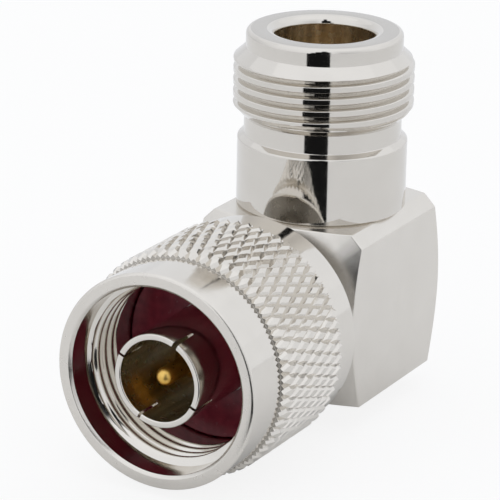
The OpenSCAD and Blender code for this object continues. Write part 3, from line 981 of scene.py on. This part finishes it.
# Tiers of the tent's wall: height, start and end of the opening, share of the way to the lid's level
OPENING_TIERS = [(0.0, 9.0, 36.0, 0.0), (0.15, 15.0, 36.0, 0.25), (0.42, 24.0, 32.0, 0.65)]
OPENING_LEVEL = 0.01
OPENING_FLOOR_START = 0.042
OPENING_FLOOR_SHARE = 0.98
OPENING_FLOOR_LIFT = 0.00005
OPENING_EDGE = 1
# Panels of the tent's wall beside the opening: azimuth in degrees, level
PANELS_BEFORE = [(-90, 0.79), (-45, 1.0)]
PANEL_BEFORE_EDGE = 1.06
PANEL_AFTER_EDGE = 1.05
PANELS_AFTER = [(41, 0.95), (52, 0.72), (64, 0.75), (96, 0.97), (115, 1.02), (-170, 0.9),
                (-120, 0.84), (-90, 0.79)]
# Value of a radial gradient ahead of the nut
GRADIENT_AHEAD = 0.25


def aim(azimuth):
    """Level direction at an azimuth in degrees: 0 is ahead of the nut, 90 on the +X side."""
    a = math.radians(azimuth)
    return Vector((math.sin(a), -math.cos(a), 0))


def seen_share(paint, camera_share, mirror_share):
    """How far a stage surface shows as plain white: to the camera, and to metal and glass."""
    path = paint.add("ShaderNodeLightPath")
    mirror = paint.add("ShaderNodeMath", operation="MAXIMUM")
    paint.join(path.outputs["Is Glossy Ray"], mirror.inputs[0])
    paint.join(path.outputs["Is Transmission Ray"], mirror.inputs[1])
    part = paint.add("ShaderNodeMath", operation="MULTIPLY")
    part.inputs[1].default_value = mirror_share
    paint.join(mirror.outputs[0], part.inputs[0])
    both = paint.add("ShaderNodeMath", operation="MULTIPLY_ADD")
    both.inputs[1].default_value = camera_share
    paint.join(path.outputs["Is Camera Ray"], both.inputs[0])
    paint.join(part.outputs[0], both.inputs[2])
    return both.outputs[0]


def floor_material():
    """Pale floor that the camera sees as white, with the object's shadow on it."""
    paint = Paint("pale floor")
    paint.set(Base_Color=(FLOOR_TONE, FLOOR_TONE, FLOOR_TONE, 1), Roughness=0.9, Specular_IOR_Level=0.1)
    white = paint.add("ShaderNodeEmission")
    mix = paint.add("ShaderNodeMixShader")
    paint.join(seen_share(paint, FLOOR_CAMERA_WHITE, FLOOR_MIRROR_WHITE), mix.inputs["Fac"])
    paint.join(paint.shader.outputs["BSDF"], mix.inputs[1])
    paint.join(white.outputs["Emission"], mix.inputs[2])
    paint.surface(mix.outputs["Shader"])
    return paint.material


def light(level):
    """Colour of the tent's cool daylight at a level."""
    return [level * share for share in DAYLIGHT]


def glow(name):
    """A material that only glows, and the socket of its colour."""
    paint = Paint(name)
    shine = paint.add("ShaderNodeEmission")
    paint.surface(shine.outputs["Emission"])
    return paint, shine.inputs["Color"]


def even_material(name, level):
    """Evenly lit cloth."""
    paint, colour = glow(name)
    colour.default_value = (*light(level), 1)
    return paint.material


def wall_material(name, start, end, share):
    """Tent wall with a dark opening; a share of 1 brings its panels to the lid's level."""
    paint, colour = glow(name)
    where = paint.add("ShaderNodeTexCoord")
    round_about = paint.add("ShaderNodeTexGradient", gradient_type="RADIAL")
    ramp = paint.add("ShaderNodeValToRGB")
    paint.join(where.outputs["Object"], round_about.inputs["Vector"])
    paint.join(round_about.outputs["Fac"], ramp.inputs["Fac"])
    paint.join(ramp.outputs["Color"], colour)
    opening = [(start - OPENING_EDGE, PANEL_BEFORE_EDGE), (start, OPENING_LEVEL),
               (end, OPENING_LEVEL), (end + OPENING_EDGE, PANEL_AFTER_EDGE)]
    panels = PANELS_BEFORE + opening + PANELS_AFTER

    def shown(level):
        lifted = level + (LID_LEVEL - level) * share
        return (*light(level if level == OPENING_LEVEL else lifted), 1)

    stops = ramp.color_ramp.elements
    for k, (_, level) in enumerate((panels[0], panels[-1])):
        stops[k].position = k
        stops[k].color = shown(level)
    for azimuth, level in panels[1:-1]:
        stops.new((azimuth / 360 + GRADIENT_AHEAD) % 1).color = shown(level)
    return paint.material


def stage_piece(name, corners, faces, material):
    mesh = bpy.data.meshes.new(name)
    mesh.from_pydata(corners, [], faces)
    mesh.materials.append(material)
    piece = bpy.data.objects.new(name, mesh)
    bpy.context.scene.collection.objects.link(piece)
    return piece


def tent():
    """A round light tent about the jack's axis, which the camera looks through."""
    steps = [2 * math.pi * k / TENT_COLUMNS for k in range(TENT_COLUMNS)]
    heights = [FLOOR_Z] + [tier[0] for tier in OPENING_TIERS[1:]] + [TENT_HEIGHT]
    levels = [[(TENT_RADIUS * math.cos(a), TENT_RADIUS * math.sin(a), z) for a in steps]
              for z in heights]
    count = TENT_COLUMNS
    walls = [(k, (k + 1) % count, count + (k + 1) % count, count + k) for k in range(count)]
    pieces = []
    for k, tier in enumerate(OPENING_TIERS):
        name = f"tent wall {k + 1}"
        material = wall_material(name, *tier[1:])
        pieces.append(stage_piece(name, levels[k] + levels[k + 1], walls, material))
    pieces.append(stage_piece("tent lid", levels[-1], [list(range(count))],
                              even_material("tent lid", LID_LEVEL)))
    middle = (OPENING_START + OPENING_END) / 2
    reach = TENT_RADIUS * OPENING_FLOOR_SHARE
    near = [aim(a) * OPENING_FLOOR_START for a in (OPENING_START, middle, OPENING_END)]
    far = [aim(a) * reach for a in (OPENING_END, middle, OPENING_START)]
    corners = [(p.x, p.y, FLOOR_Z + OPENING_FLOOR_LIFT) for p in near + far]
    strip = stage_piece("opening's foot", corners, [list(range(len(corners)))],
                        even_material("dark opening", OPENING_LEVEL))
    strip.visible_diffuse = False
    strip.visible_shadow = False
    for piece in (*pieces, strip):
        piece.visible_camera = False
        piece.location = (0, ELBOW_Y * MM, 0)


floor_corners = [(-FLOOR_HALF, -FLOOR_HALF, FLOOR_Z), (FLOOR_HALF, -FLOOR_HALF, FLOOR_Z),
                 (FLOOR_HALF, FLOOR_HALF, FLOOR_Z), (-FLOOR_HALF, FLOOR_HALF, FLOOR_Z)]
stage_piece("floor", floor_corners, [(0, 1, 2, 3)], floor_material())
tent()

world = bpy.data.worlds.new("studio")
bpy.context.scene.world = world
world.use_nodes = True
sky = world.node_tree.nodes["Background"]
sky.inputs["Color"].default_value = (1, 1, 1, 1)
sky.inputs["Strength"].default_value = 1.0

LAMP_HEIGHT = 0.6
LAMP_SIZE = 0.5
LAMP_POWER = 0.35
LAMP_ASIDE = -0.1
lamp = bpy.data.lights.new("overhead lamp", "AREA")
lamp.shape = "SQUARE"
lamp.size = LAMP_SIZE
lamp.energy = LAMP_POWER
lamp_holder = bpy.data.objects.new("overhead lamp", lamp)
lamp_holder.location = (LAMP_ASIDE, 0.0, LAMP_HEIGHT)
lamp_holder.visible_glossy = False
bpy.context.scene.collection.objects.link(lamp_holder)

# The camera's place comes from fitting the part's rims and edges to the photograph
CAMERA_AZIMUTH = math.radians(29.157)
CAMERA_ELEVATION = math.radians(19.106)
CAMERA_ROLL = math.radians(1.113)
CAMERA_DISTANCE = 275.079
CAMERA_ASIDE = 6.081
CAMERA_ABOVE = -3.05
PHOTO_PIXELS = 500
FOCAL_PIXELS = 3086.5
SENSOR = 36
CLIP_START = 0.01
GLOSSY_BOUNCES = 12


def camera():
    """Camera at the photograph's place, turned about its own axis by a slight roll."""
    a = CAMERA_AZIMUTH
    e = CAMERA_ELEVATION
    back = Vector((math.sin(a) * math.cos(e), -math.cos(a) * math.cos(e), math.sin(e)))
    level = Vector((math.cos(a), math.sin(a), 0))
    up = back.cross(level)
    right = level * math.cos(CAMERA_ROLL) + up * math.sin(CAMERA_ROLL)
    above = up * math.cos(CAMERA_ROLL) - level * math.sin(CAMERA_ROLL)
    spot = back * CAMERA_DISTANCE - right * CAMERA_ASIDE - above * CAMERA_ABOVE
    spot += Vector((0, ELBOW_Y, 0))
    lens = bpy.data.cameras.new("camera")
    lens.sensor_width = SENSOR
    lens.lens = SENSOR * FOCAL_PIXELS / PHOTO_PIXELS
    lens.clip_start = CLIP_START
    holder = bpy.data.objects.new("camera", lens)
    bpy.context.scene.collection.objects.link(holder)
    turn = Matrix((right, above, back)).transposed()
    holder.matrix_world = Matrix.Translation(spot * MM) @ turn.to_4x4()
    bpy.context.scene.camera = holder


camera()
bpy.context.scene.view_settings.view_transform = "Standard"
bpy.context.scene.cycles.glossy_bounces = GLOSSY_BOUNCES
